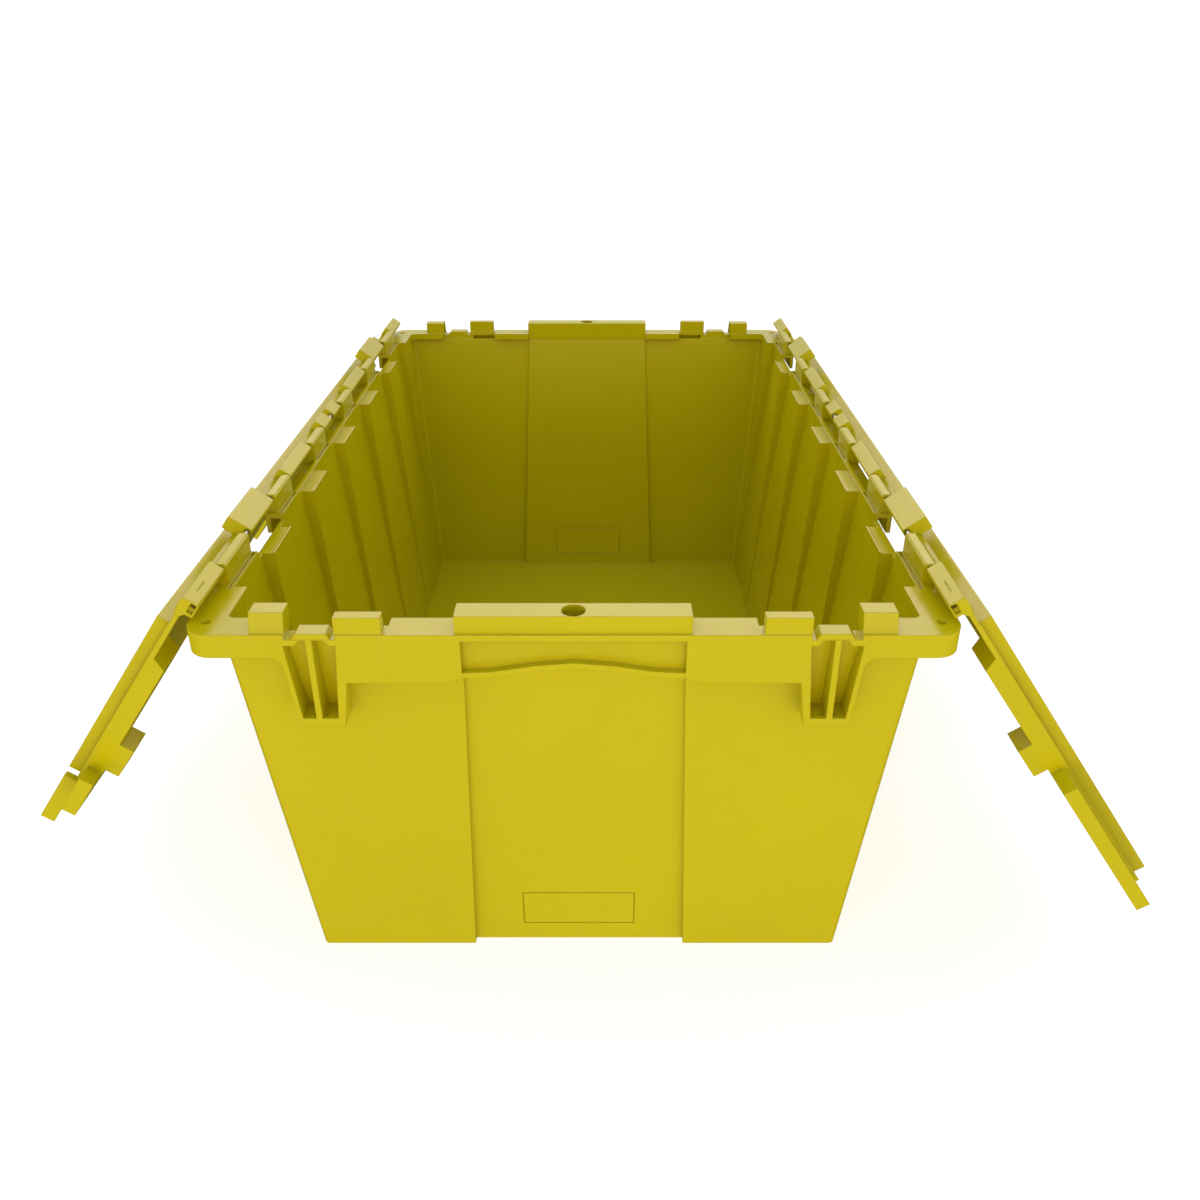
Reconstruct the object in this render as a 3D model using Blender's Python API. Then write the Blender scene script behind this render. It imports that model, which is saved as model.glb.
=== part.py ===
import math

import bmesh
import bpy
from mathutils import Matrix, Vector

# Attached lid tote: one deep nesting body and two lids that interlock along the middle.
# Frame: metres, +Z up, origin on the floor under the middle of the body,
# +Y along the length, +X across it. The numbers below are millimetres.

MM = 0.001

# ---- body -------------------------------------------------------------------
RIM_X, RIM_Y, RIM_Z = 216.0, 343.0, 274.0   # outer half width and half length of the rim, height of its top
RIM_R = 15.0                                 # corner radius of the rim
RIM_LOW = 259.5                              # lower edge of the rim's outer skirt at the corners
LIP_LOW = 243.0                              # lower edge of the deeper end skirt beside the grip
RIM_T = 3.5                                  # thickness of the rim's top plate
SKIRT_T = 3.0
BASE_X, BASE_Y = 179.6, 303.4                # outer half width and half length at the floor
DRAFT_X, DRAFT_Y = 0.071, 0.105              # outward run of the walls per mm of height
WALL = 3.0
FLOOR_T = 3.2
CAV_Z = 268.0                                # underside of the rim's inner bead
OPEN_X, OPEN_Y = 195.5, 323.0                # half sizes of the mouth at the corners
SIDE_IN, SIDE_OUT = 203.3, 206.3             # wall between the ribs, at the top
LEDGE_Z = 269.4                              # top of the inner ribs
POST_Y = 289.0                               # where the side wall steps out of its corner post
RIB_Y = (0.0, 104.0, 208.0)                  # inner rib centres, both signs
RIB_HALF = 20.0
PANEL_IN0, PANEL_IN1 = 295.0, 326.0          # inner face of the end panel at the floor and at CAV_Z
PANEL_HALF0, PANEL_HALF1 = 73.0, 61.0        # half width of the end panel, bottom and top
GRIP_HALF, GRIP_Z, GRIP_IN = 65.3, 285.0, 326.0
GRIP_FACE = 341.6
WIN_HALF, WIN_TOP, WIN_BACK = 62.5, 270.0, 338.0   # shallow finger recess below the grip, and its back
BAND = ((-62.5, 245.8), (-45.0, 246.6), (-22.0, 250.4), (0.0, 252.3), (22.0, 250.4), (45.0, 246.6), (62.5, 245.8))
BAND_T = 3.6
SEAL_R, SEAL_Y = 6.7, 334.5
CORNER_HOLE = (206.0, 328.0, 2.75)
LUG1 = (159.0, 178.0, 325.5, 285.0)          # x0, x1, inner y, top; its outer face leans in
LUG2 = (105.0, 131.0, 335.0, 284.6)
LOW_X0, LOW_X1 = 131.0, 159.0                # lowered stretch of the end rim, over the bracket
LOW_Z = 271.0
BRK_MID = (136.0, 152.5, 274.6)
BRK_LOW = 213.0

# ---- hinge ------------------------------------------------------------------
AXIS_X, AXIS_Z = 211.0, 284.0                # hinge axis, along Y
ROD_R, ROD_HALF = 1.6, 326.0
BORE_R = 1.95
KNUCKLES = ((34.0, 70.5), (137.5, 175.0), (238.0, 282.0))
KNUCKLE_X = (207.0, 215.0)
KNUCKLE_Z = 287.4
NOTCHES = ((-32.5, 32.5), (72.0, 136.0), (176.5, 236.5))
NOTCH_Z = 270.2                              # floor of the two shallow notches; the third is open below
OPEN_DEG = 234.5                             # lid travel from closed to its open stop

# ---- lid, measured from the hinge axis: x inward, z up, lid closed -----------
PLATE_Z0, PLATE_Z1 = -6.8, -4.0
LID_END = 323.5
PLATE_X0 = 5.5
EDGE = 47.5                                  # the middle fingers reach this far over the centre line
FINGERS = (-200.0, -70.0, 0.0, 70.0, 200.0)
SLANT = 5.0
GAP = 0.5
RIDGE_X0, RIDGE_Y0, RIDGE_Z = 52.8, 297.0, 4.4
RIDGE_RUN = 4.5                              # its hinge end leans over this much
LID_LUG = (117.0, 140.0, 304.0, 13.6)
TAB_X0, TAB_Z0 = 143.7, 1.5                  # end of the cap, underside of its top
TAB_RUN = 9.0                                # the short cap widens by this much towards its lip
SKIRT_Z, SKIRT_Y0, SKIRT_Y1 = -14.6, 316.0, 319.0
LIP_Z = -7.1                                 # lower edge of the band along each end
TONGUE = (194.5, 324.2, 325.7, -14.0, -5.1)  # far end, y0, y1, z0, z1 of the tongue beside the other lid's end
TAB_Y, TAB_LOW, TAB_IN = 344.0, -4.6, 342.0  # cap over the grip: outer face, lower edge, inside of its lip
BLOCKS = ((5.0, 28.7, -7.6), (74.0, 134.0, -7.6), (178.5, 229.0, -14.8), (284.0, 330.0, -7.6))
BLOCK_TOP = 2.8
BLOCK_X = (-3.0, 6.5)
PAD = (9.0, 13.0, 146.0, 167.0, 1.4)         # open stop on the lid: x0, x1, y0, y1, top

for o in list(bpy.data.objects):
    bpy.data.objects.remove(o, do_unlink=True)


# ---- shapes -----------------------------------------------------------------
def solid(bm, name):
    bmesh.ops.recalc_face_normals(bm, faces=bm.faces)
    bmesh.ops.scale(bm, vec=(MM, MM, MM), verts=bm.verts)
    mesh = bpy.data.meshes.new(name)
    bm.to_mesh(mesh)
    bm.free()
    obj = bpy.data.objects.new(name, mesh)
    bpy.context.scene.collection.objects.link(obj)
    return obj


def rings(name, loops):
    """Closed solid through rings of points that all have the same count."""
    bm = bmesh.new()
    rows = [[bm.verts.new(p) for p in loop] for loop in loops]
    n = len(rows[0])
    for a, b in zip(rows, rows[1:]):
        for i in range(n):
            j = (i + 1) % n
            bm.faces.new((a[i], a[j], b[j], b[i]))
    bm.faces.new(list(reversed(rows[0])))
    bm.faces.new(rows[-1])
    return solid(bm, name)


def prism_xy(pts, z0, z1):
    return rings("prism", [[(x, y, z) for x, y in pts] for z in (z0, z1)])


def prism_xz(pts, y0, y1):
    return rings("prism", [[(x, y, z) for x, z in pts] for y in (y0, y1)])


def box(x0, x1, y0, y1, z0, z1):
    x0, x1 = min(x0, x1), max(x0, x1)
    y0, y1 = min(y0, y1), max(y0, y1)
    return prism_xy([(x0, y0), (x1, y0), (x1, y1), (x0, y1)], z0, z1)


def quad(a, b, sx, sy, swap=False):
    """Hexahedron from two rectangles (x0, x1, y0, y1, z), mirrored by sx and sy."""
    out = []
    for x0, x1, y0, y1, z in (a, b):
        out.append([(sx * x0, sy * y0, z), (sx * x1, sy * y0, z), (sx * x1, sy * y1, z), (sx * x0, sy * y1, z)])
    return rings("quad", out)


def rrect(hx, hy, r, z, n=4):
    pts = []
    for cx, cy, a0 in ((hx - r, hy - r, 0), (-hx + r, hy - r, 90), (-hx + r, -hy + r, 180), (hx - r, -hy + r, 270)):
        for i in range(n + 1):
            a = math.radians(a0 + 90 * i / n)
            pts.append((cx + r * math.cos(a), cy + r * math.sin(a), z))
    return pts


def rod(x, z, r, y0, y1, n):
    pts = [(x + r * math.cos(2 * math.pi * (i + 0.5) / n), z + r * math.sin(2 * math.pi * (i + 0.5) / n)) for i in range(n)]
    return prism_xz(pts, y0, y1)


def post(x, y, r, z0, z1, n):
    pts = [(x + r * math.cos(2 * math.pi * (i + 0.5) / n), y + r * math.sin(2 * math.pi * (i + 0.5) / n)) for i in range(n)]
    return prism_xy(pts, z0, z1)


def apply_op(base, tool, operation):
    mod = base.modifiers.new("op", "BOOLEAN")
    mod.operation = operation
    mod.solver = "EXACT"
    mod.object = tool
    graph = bpy.context.evaluated_depsgraph_get()
    mesh = bpy.data.meshes.new_from_object(base.evaluated_get(graph))
    base.modifiers.clear()
    old = base.data
    base.data = mesh
    bpy.data.meshes.remove(old)
    bpy.data.objects.remove(tool, do_unlink=True)


def union(base, *tools):
    for t in tools:
        apply_op(base, t, "UNION")


def cut(base, *tools):
    for t in tools:
        apply_op(base, t, "DIFFERENCE")


def tidy(obj):
    bm = bmesh.new()
    bm.from_mesh(obj.data)
    bmesh.ops.remove_doubles(bm, verts=bm.verts, dist=0.00002)
    bmesh.ops.dissolve_degenerate(bm, edges=bm.edges, dist=0.00002)
    bmesh.ops.dissolve_limit(bm, angle_limit=math.radians(0.2), verts=bm.verts, edges=bm.edges)
    bmesh.ops.triangulate(bm, faces=bm.faces)
    bm.to_mesh(obj.data)
    bm.free()


def paint(obj, name, rgb, rough, metal):
    mat = bpy.data.materials.new(name)
    mat.use_nodes = True
    p = mat.node_tree.nodes["Principled BSDF"]
    p.inputs["Base Color"].default_value = (*rgb, 1.0)
    p.inputs["Roughness"].default_value = rough
    p.inputs["Metallic"].default_value = metal
    mat.diffuse_color = (*rgb, 1.0)
    obj.data.materials.clear()
    obj.data.materials.append(mat)


# ---- the body ---------------------------------------------------------------
def wall_x(z):
    return BASE_X + DRAFT_X * z


def wall_y(z):
    return BASE_Y + DRAFT_Y * z


def panel_y(z):
    return PANEL_IN0 + (PANEL_IN1 - PANEL_IN0) * z / CAV_Z


def side_bays():
    """Stretches of side wall between the inner ribs, where the wall stands further out."""
    edges = [-POST_Y]
    for y in sorted(set([-y for y in RIB_Y] + list(RIB_Y))):
        edges += [y - RIB_HALF, y + RIB_HALF]
    edges.append(POST_Y)
    return list(zip(edges[0::2], edges[1::2]))


def build_body():
    body = rings("tote_body", [rrect(RIM_X, RIM_Y, RIM_R, z) for z in (RIM_LOW, RIM_Z)])
    cut(body, rings("void", [rrect(RIM_X - SKIRT_T, RIM_Y - SKIRT_T, RIM_R - SKIRT_T, z) for z in (RIM_LOW - 5, RIM_Z - RIM_T)]))
    union(body, rings("walls", [rrect(wall_x(z), wall_y(z), r, z) for z, r in ((0.0, 4.0), (RIM_Z - 1.0, 6.0))]))

    # side bays, outside
    for sx in (1, -1):
        for y0, y1 in side_bays():
            union(body, rings("bay", [
                [(sx * 150, y0 + 5, 8), (sx * (wall_x(8) + 0.3), y0 + 5, 8), (sx * (wall_x(8) + 0.3), y1 - 5, 8), (sx * 150, y1 - 5, 8)],
                [(sx * 150, y0 - 2, 262), (sx * SIDE_OUT, y0 - 2, 262), (sx * SIDE_OUT, y1 + 2, 262), (sx * 150, y1 + 2, 262)],
                [(sx * 150, y0 - 2, RIM_Z - 0.5), (sx * SIDE_OUT, y0 - 2, RIM_Z - 0.5), (sx * SIDE_OUT, y1 + 2, RIM_Z - 0.5), (sx * 150, y1 + 2, RIM_Z - 0.5)],
            ]))

    # caps over the inner ribs
    for sx in (1, -1):
        for y in sorted(set([-y for y in RIB_Y] + list(RIB_Y))):
            union(body, box(sx * 180, sx * (SIDE_OUT - 0.2), y - RIB_HALF - 3, y + RIB_HALF + 3, LEDGE_Z - 3.6, RIM_Z - 0.7))

    # end skirts, brackets and grips
    for sy in (1, -1):
        for sx in (1, -1):
            union(body,
                  prism_xz([(sx * x, z) for x, z in ((WIN_HALF, RIM_Z - 1), (WIN_HALF, 246.4), (66.0, 244.8), (70.0, 243.6), (75.0, LIP_LOW), (128.0, LIP_LOW), (128.0, RIM_Z - 1))],
                           sy * (RIM_Y - SKIRT_T), sy * RIM_Y),
                  box(sx * WIN_HALF, sx * (WIN_HALF + 3), sy * 322, sy * (RIM_Y - 1), LIP_LOW, RIM_Z - 1))
            pts = [(171.0, RIM_Z - 2), (127.5, RIM_Z - 2), (127.5, LIP_LOW), (131.5, BRK_LOW), (157.5, BRK_LOW),
                   (161.5, 252.6), (162.8, 256.2), (165.6, 258.8), (171.0, 260.2)]
            union(body, prism_xz([(sx * x, z) for x, z in pts], sy * 322, sy * RIM_Y))
        union(body, box(-GRIP_HALF, GRIP_HALF, sy * GRIP_IN, sy * GRIP_FACE, CAV_Z - 2, GRIP_Z))

    # mouth and cavity
    cut(body, rings("cavity", [rrect(wall_x(z) - WALL, wall_y(z) - WALL, r, z) for z, r in ((FLOOR_T, 3.0), (CAV_Z, 4.0))]))
    cut(body, rings("mouth", [rrect(OPEN_X, OPEN_Y, 4.0, z) for z in (CAV_Z - 1, 320)]))
    for sx in (1, -1):
        for y0, y1 in side_bays():
            y0, y1 = max(y0, -POST_Y + 3), min(y1, POST_Y - 3)
            cut(body, rings("bay", [
                [(sx * 140, y0 + 7, 9), (sx * (wall_x(9) - WALL + 0.4), y0 + 7, 9), (sx * (wall_x(9) - WALL + 0.4), y1 - 7, 9), (sx * 140, y1 - 7, 9)],
                [(sx * 140, y0 + 1, 262), (sx * SIDE_IN, y0 + 1, 262), (sx * SIDE_IN, y1 - 1, 262), (sx * 140, y1 - 1, 262)],
                [(sx * 140, y0 + 1, 320), (sx * SIDE_IN, y0 + 1, 320), (sx * SIDE_IN, y1 - 1, 320), (sx * 140, y1 - 1, 320)],
            ]))
        cut(body, box(sx * 150, sx * SIDE_IN, -POST_Y + 10, POST_Y - 10, LEDGE_Z, 330))
        for sy in (1, -1):
            cut(body, box(sx * (LUG2[0] - 2), sx * (LOW_X1 + 1), sy * 300, sy * 332, CAV_Z - 0.6, 330))
    for sy in (1, -1):
        cut(body, box(-GRIP_HALF + 0.01, GRIP_HALF - 0.01, sy * 300, sy * GRIP_IN, CAV_Z - 0.6, 330))

    # end panels: set in from the wall, a shallow step on both sides
    for sy in (1, -1):
        a, b = panel_y(0.0), panel_y(CAV_Z + 4)
        p0, p1 = PANEL_HALF0 + 2.2, WIN_HALF + 2.2     # laps past the outer step, so the wall stays closed
        union(body, rings("panel", [
            [(-p0, sy * (a - 0.35), FLOOR_T - 3), (p0, sy * (a - 0.35), FLOOR_T - 3), (p0, sy * (a + 4.2), FLOOR_T - 3), (-p0, sy * (a + 4.2), FLOOR_T - 3)],
            [(-p1, sy * b, CAV_Z + 1), (p1, sy * b, CAV_Z + 1), (p1, sy * (b + 4.2), CAV_Z + 1), (-p1, sy * (b + 4.2), CAV_Z + 1)]]))
        cut(body, rings("step", [
            [(-PANEL_HALF0, sy * (a + WALL), -2), (PANEL_HALF0, sy * (a + WALL), -2), (PANEL_HALF0, sy * 339, -2), (-PANEL_HALF0, sy * 339, -2)],
            [(-WIN_HALF, sy * (panel_y(WIN_TOP) + WALL), WIN_TOP), (WIN_HALF, sy * (panel_y(WIN_TOP) + WALL), WIN_TOP),
             (WIN_HALF, sy * 339, WIN_TOP), (-WIN_HALF, sy * 339, WIN_TOP)]]))
        # hollow of the grip and the finger recess below it
        cut(body, box(-60.5, 60.5, sy * (GRIP_IN + 3.4), sy * (GRIP_FACE - 3.6), 256, GRIP_Z - 3.2))
        cut(body, box(-WIN_HALF, WIN_HALF, sy * 334, sy * 350, 240, WIN_TOP))
        plate = [(x * 1.005, z + 1.0) for x, z in BAND] + [(WIN_HALF * 1.005, WIN_TOP + 1.0), (-WIN_HALF * 1.005, WIN_TOP + 1.0)]
        union(body, prism_xz(plate, sy * (WIN_BACK - 3.0), sy * WIN_BACK))
        band = [(x, z) for x, z in BAND] + [(x, z + BAND_T) for x, z in reversed(BAND)]
        band = [(x * 1.01, z) for x, z in band]
        union(body, prism_xz(band, sy * 325.5, sy * (RIM_Y - 0.3)))
        cut(body, post(0, sy * SEAL_Y, SEAL_R, GRIP_Z - 10, GRIP_Z + 10, 24))

        for sx in (1, -1):
            # lowered rim over the bracket, its raised middle, and the two pockets
            cut(body, box(sx * LOW_X0, sx * LOW_X1, sy * 320, sy * 350, LOW_Z, RIM_Z + 8))
            x0, x1, zt = BRK_MID
            mid = [(x1 + 3.2, LOW_Z - 1), (x0 - 3.2, LOW_Z - 1), (x0, zt), (x1, zt)]
            union(body, prism_xz([(sx * x, z) for x, z in mid], sy * 332, sy * (RIM_Y - 0.2)))
            for pts in ([(160.0, 267.2), (153.8, 267.2), (151.0, 270.6), (147.4, 270.6), (147.4, 219.0), (155.0, 219.0)],
                        [(143.9, 270.6), (137.4, 270.6), (134.6, 267.2), (131.0, 267.2), (134.8, 219.0), (143.9, 219.0)]):
                loops = []
                for back in (True, False):
                    loops.append([(sx * x, sy * ((wall_y(z) + 0.4) if z < 267 else 335.2) if back else sy * 350, z) for x, z in pts])
                cut(body, rings("pocket", loops))
            x0, x1, yi, zt = LUG1
            union(body, quad((x0, x1, yi, RIM_Y - 0.5, RIM_Z - 3), (x0, x1, yi, RIM_Y - 6.0, zt), sx, sy))
            x0, x1, yi, zt = LUG2
            union(body, box(sx * x0, sx * x1, sy * yi, sy * (RIM_Y - 0.5), RIM_Z - 3, zt))
            cx, cy, cr = CORNER_HOLE
            cut(body, post(sx * cx, sy * cy, cr, 262, 290, 16))

    # side rims: cut back at the lid blocks, knuckles between them
    for sx in (1, -1):
        for sy in (1, -1):
            for y0, y1 in NOTCHES[:2]:
                if y0 < 0 and sy < 0:
                    continue
                union(body, box(sx * (SIDE_OUT - 1.5), sx * (RIM_X - 0.4), sy * (y0 - 1), sy * (y1 + 1), NOTCH_Z - 3.5, NOTCH_Z + 1))
                cut(body, box(sx * (SIDE_OUT + 0.6), sx * 225, sy * y0, sy * y1, NOTCH_Z, 300))
            y0, y1 = NOTCHES[2]
            cut(body, box(sx * SIDE_OUT, sx * 225, sy * y0, sy * y1, 240, 300))
            cut(body, box(sx * 197, sx * 225, sy * y0, sy * y1, LEDGE_Z - 0.6, 300))
            for y0, y1 in KNUCKLES:
                k0, k1 = KNUCKLE_X
                pts = [(k0, RIM_Z - 2), (k1, RIM_Z - 2), (k1, KNUCKLE_Z - 2), (k1 - 2, KNUCKLE_Z), (k0 + 1.5, KNUCKLE_Z), (k0, KNUCKLE_Z - 1.5)]
                knob = prism_xz([(sx * x, z) for x, z in pts], sy * y0, sy * y1)
                cut(knob, rod(sx * AXIS_X, AXIS_Z, BORE_R, sy * (y0 - 2), sy * (y1 + 2), 12))
                union(body, knob)
    tidy(body)
    return body


# ---- a lid, built closed, hinge axis on its origin ---------------------------
def free_edge(offset, y_end):
    """The wavy free edge of the left lid, moved back from the shared line by offset."""
    x = AXIS_X
    pts = [(x - EDGE, -y_end)]
    side = -1
    for y in FINGERS:
        pts.append((x + side * EDGE, y - SLANT))
        side = -side
        pts.append((x + side * EDGE, y + SLANT))
    pts.append((x + EDGE, y_end))
    lines = []
    for (ax, ay), (bx, by) in zip(pts, pts[1:]):
        d = Vector((bx - ax, by - ay)).normalized()
        n = Vector((-d.y, d.x)) * offset
        lines.append((Vector((ax, ay)) + n, d))
    out = [(lines[0][0].x, -y_end)]
    for (p, d), (q, e) in zip(lines, lines[1:]):
        cross = d.x * e.y - d.y * e.x
        t = ((q.x - p.x) * e.y - (q.y - p.y) * e.x) / cross
        out.append((p.x + d.x * t, p.y + d.y * t))
    out.append((lines[-1][0].x, y_end))
    return out


def build_lid(name):
    edge = free_edge(GAP, LID_END)
    lid = prism_xy([(PLATE_X0, -LID_END)] + edge + [(PLATE_X0, LID_END)], PLATE_Z0, PLATE_Z1)
    lid.name = lid.data.name = name
    near, far = edge[0][0], edge[-1][0]
    # raised ridge along each end, hollow below, then the tabs that lie over the grips
    for sy, xe in ((-1, near), (1, far)):
        union(lid, prism_xz([(RIDGE_X0 - RIDGE_RUN, PLATE_Z1), (RIDGE_X0 - RIDGE_RUN, PLATE_Z0 + 0.5), (xe, PLATE_Z0 + 0.5), (xe, RIDGE_Z), (RIDGE_X0, RIDGE_Z)],
                            sy * RIDGE_Y0, sy * LID_END))
    for sy, xe in ((-1, near), (1, far)):
        cut(lid, box(RIDGE_X0 + 2.5, xe - 2.5, sy * (RIDGE_Y0 + 2.5), sy * (LID_END - 2.5), PLATE_Z0 - 5, RIDGE_Z - 2.7))
        run = TAB_RUN if sy < 0 else 0.0
        cap = prism_xy([(TAB_X0, sy * (LID_END - 2)), (TAB_X0, sy * LID_END), (TAB_X0 - run, sy * TAB_Y), (xe, sy * TAB_Y), (xe, sy * (LID_END - 2))], TAB_LOW, RIDGE_Z)
        cut(cap, prism_xy([(TAB_X0 + 1.6, sy * (LID_END + 0.4)), (TAB_X0 + 1.6 - run * 0.9, sy * TAB_IN), (xe + 5, sy * TAB_IN), (xe + 5, sy * (LID_END + 0.4))], TAB_LOW - 5, TAB_Z0))
        union(lid, cap)
        x0, x1, y0, zt = LID_LUG
        union(lid, box(x0, x1, sy * y0, sy * LID_END, RIDGE_Z - 1.2, zt))
    cut(lid, post(AXIS_X, SEAL_Y, SEAL_R, -2, 12, 24))

    # skirt that drops inside the mouth, and the tongue that runs on under the other lid
    x_in = AXIS_X - 187.0
    for sy, xe in ((-1, near - 8.5), (1, far - 3.5)):
        union(lid, box(x_in, RIDGE_X0 + 1, sy * SKIRT_Y0, sy * SKIRT_Y1, SKIRT_Z, PLATE_Z0 + 1))
        union(lid, box(RIDGE_X0 + 0.5, xe, sy * SKIRT_Y0, sy * SKIRT_Y1, SKIRT_Z, RIDGE_Z - 2.0))
        union(lid, box(x_in - 1, near - 0.3 if sy < 0 else far - 0.3, sy * (LID_END - 2.5), sy * LID_END, LIP_Z, PLATE_Z0 + 1))
    union(lid, box(x_in, x_in + 2.5, -SKIRT_Y0 - 1, SKIRT_Y0 + 1, SKIRT_Z, PLATE_Z0 + 1))
    t_end, t_y0, t_y1, t_z0, t_z1 = TONGUE
    union(lid, box(near - 7.0, near - 0.6, -t_y1, -LID_END + 2.4, t_z0, TAB_Z0 + 1))
    union(lid, box(near - 5.0, t_end, -t_y1, -t_y0, t_z0, t_z1))
    # stiffening ribs below
    lip0, lip1 = free_edge(GAP, 300.0), free_edge(GAP + 2.5, 300.0)
    union(lid, prism_xy(lip0 + list(reversed(lip1)), -9.5, PLATE_Z0 + 1))
    for x in (70.0, 118.0):
        union(lid, box(x - 1, x + 1, -SKIRT_Y0 - 1, SKIRT_Y0 + 1, -10.0, PLATE_Z0 + 1))
    for y, xe in ((-260, near), (-135, far), (-35, near), (35, far), (135, near), (260, far)):
        union(lid, box(x_in + 1, xe - 1, y - 1, y + 1, -10.0, PLATE_Z0 + 1))

    # hinge blocks around the rod, and the pads that meet the rim when the lid is fully open
    for y0, y1, zb in BLOCKS:
        for sy in (-1, 1):
            b0, b1 = BLOCK_X
            zt = BLOCK_TOP
            pts = [(b0, zb + 1), (b0 + 1, zb), (b1, zb), (b1 + 0.2, -7.0), (b1 + 3, -7.0), (b1 + 3, PLATE_Z1), (b1, PLATE_Z1 + 2.5), (b1, zt), (b0 + 1, zt), (b0, zt - 1)]
            union(lid, prism_xz(pts, sy * y0, sy * y1))
            cut(lid, rod(0, 0, BORE_R, sy * (y0 - 1), sy * (y1 + 1), 12))
    x0, x1, y0, y1, zt = PAD
    for sy in (-1, 1):
        union(lid, box(x0, x1, sy * y0, sy * y1, PLATE_Z0 + 1, zt))
    tidy(lid)
    return lid


body = build_body()
lid_left = build_lid("lid_left")
lid_right = bpy.data.objects.new("lid_right", lid_left.data.copy())
bpy.context.scene.collection.objects.link(lid_right)

for lid, side in ((lid_left, -1), (lid_right, 1)):
    lid.location = (side * AXIS_X * MM, 0.0, AXIS_Z * MM)
    lid.rotation_euler = (0.0, math.radians(-OPEN_DEG), 0.0 if side < 0 else math.pi)

for name, side in (("hinge_rod_left", -1), ("hinge_rod_right", 1)):
    r = rod(0, 0, ROD_R, -ROD_HALF, ROD_HALF, 12)
    r.name = r.data.name = name
    r.location = (side * AXIS_X * MM, 0.0, AXIS_Z * MM)
    for p in r.data.polygons:
        p.use_smooth = len(p.vertices) == 4
    paint(r, name + "_steel", (0.55, 0.56, 0.57), 0.30, 1.0)

paint(body, "body_yellow_polypropylene", (0.60, 0.47, 0.003), 0.25, 0.0)
paint(lid_left, "lid_left_yellow_polypropylene", (0.60, 0.47, 0.003), 0.25, 0.0)
paint(lid_right, "lid_right_yellow_polypropylene", (0.60, 0.47, 0.003), 0.25, 0.0)
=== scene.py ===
import math

import bmesh
import bpy
from mathutils import Matrix, Vector


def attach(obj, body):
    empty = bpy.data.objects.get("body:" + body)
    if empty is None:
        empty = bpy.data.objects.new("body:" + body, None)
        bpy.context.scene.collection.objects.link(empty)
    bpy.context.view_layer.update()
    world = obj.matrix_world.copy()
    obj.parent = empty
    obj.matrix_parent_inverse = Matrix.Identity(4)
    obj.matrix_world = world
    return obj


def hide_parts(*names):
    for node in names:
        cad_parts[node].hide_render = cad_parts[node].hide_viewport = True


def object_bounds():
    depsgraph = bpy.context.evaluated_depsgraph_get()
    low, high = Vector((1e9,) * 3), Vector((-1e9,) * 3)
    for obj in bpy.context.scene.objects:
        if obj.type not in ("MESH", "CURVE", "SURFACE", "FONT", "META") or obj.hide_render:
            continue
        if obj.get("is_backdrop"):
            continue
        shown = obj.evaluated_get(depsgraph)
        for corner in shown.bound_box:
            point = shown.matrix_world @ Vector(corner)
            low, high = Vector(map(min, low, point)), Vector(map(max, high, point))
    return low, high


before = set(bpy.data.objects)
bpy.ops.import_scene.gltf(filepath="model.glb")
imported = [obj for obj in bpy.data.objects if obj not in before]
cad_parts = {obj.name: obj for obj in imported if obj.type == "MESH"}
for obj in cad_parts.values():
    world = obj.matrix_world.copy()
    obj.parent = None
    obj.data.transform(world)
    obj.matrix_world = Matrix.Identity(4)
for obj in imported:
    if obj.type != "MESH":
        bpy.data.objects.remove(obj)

cad_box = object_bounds()

# Attached lid tote: the visible model. Each moulding is rebuilt around its CAD node with its
# moulded-in details and rounded edges. Numbers are millimetres in the CAD's own frame.

MM = 0.001

# ---- body -------------------------------------------------------------------
RIM_X, RIM_Y, RIM_Z = 216.0, 343.0, 274.0   # outer half width and half length of the rim, height of its top
RIM_R = 15.0                                 # corner radius of the rim
RIM_LOW = 259.5                              # lower edge of the rim's outer skirt at the corners
LIP_LOW = 243.0                              # lower edge of the deeper end skirt beside the grip
RIM_T = 3.5                                  # thickness of the rim's top plate
SKIRT_T = 3.0
BASE_X, BASE_Y = 179.6, 303.4                # outer half width and half length at the floor
DRAFT_X, DRAFT_Y = 0.071, 0.105              # outward run of the walls per mm of height
WALL = 3.0
FLOOR_T = 3.2
CAV_Z = 268.0                                # underside of the rim's inner bead
OPEN_X, OPEN_Y = 195.5, 323.0                # half sizes of the mouth at the corners
SIDE_IN, SIDE_OUT = 203.3, 206.3             # wall between the ribs, at the top
LEDGE_Z = 269.4                              # top of the inner ribs
POST_Y = 289.0                               # where the side wall steps out of its corner post
RIB_Y = (0.0, 104.0, 208.0)                  # inner rib centres, both signs
RIB_HALF = 20.0
PANEL_IN0, PANEL_IN1 = 295.0, 326.0          # inner face of the end panel at the floor and at CAV_Z
PANEL_HALF0, PANEL_HALF1 = 73.0, 61.0        # half width of the end panel, bottom and top
GRIP_HALF, GRIP_Z, GRIP_IN = 65.3, 285.0, 326.0
GRIP_FACE = 341.6
WIN_HALF, WIN_TOP, WIN_BACK = 62.5, 270.0, 338.0   # shallow finger recess below the grip, and its back
BAND = ((-62.5, 245.8), (-45.0, 246.6), (-22.0, 250.4), (0.0, 252.3), (22.0, 250.4), (45.0, 246.6), (62.5, 245.8))
BAND_T = 3.6
SEAL_R, SEAL_Y = 6.7, 334.5
CORNER_HOLE = (206.0, 328.0, 2.75)
LUG1 = (159.0, 178.0, 325.5, 285.0)          # x0, x1, inner y, top; its outer face leans in
LUG2 = (105.0, 131.0, 335.0, 284.6)
LOW_X0, LOW_X1 = 131.0, 159.0                # lowered stretch of the end rim, over the bracket
LOW_Z = 271.0
BRK_MID = (136.0, 152.5, 274.6)
BRK_LOW = 213.0

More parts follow.
